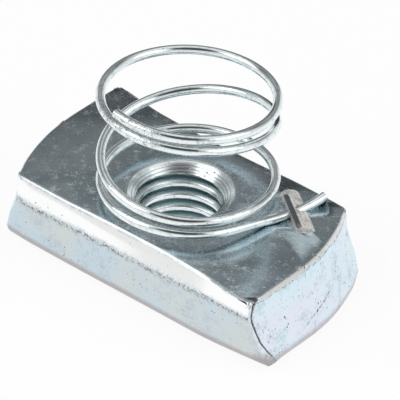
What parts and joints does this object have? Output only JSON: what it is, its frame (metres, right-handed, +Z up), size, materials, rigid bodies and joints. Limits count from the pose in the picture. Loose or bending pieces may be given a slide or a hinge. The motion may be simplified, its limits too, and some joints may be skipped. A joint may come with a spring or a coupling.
{
  "type": "spring channel nut",
  "caption": "Channel nut for slotted steel strut: a thick plate with swinging ends and a tapped hole, and a coil spring staked to its top.",
  "frame": {"origin": "on the axis of the tapped hole, in the flat clamping face that the nut stands on here, which is also the centre of the bounding box's bottom", "axes": "+X along the nut's length, +Y across its width, +Z up out of the face that carries the spring"},
  "size_m": [0.0396, 0.0196, 0.0217],
  "materials": {
    "zinc_plate": "zinc plated, satin",
    "spring_wire": "zinc plated, bright"
  },
  "bodies": {
    "root": {"nut_body": "zinc_plate", "spring": "spring_wire"}
  },
  "joints": []
}
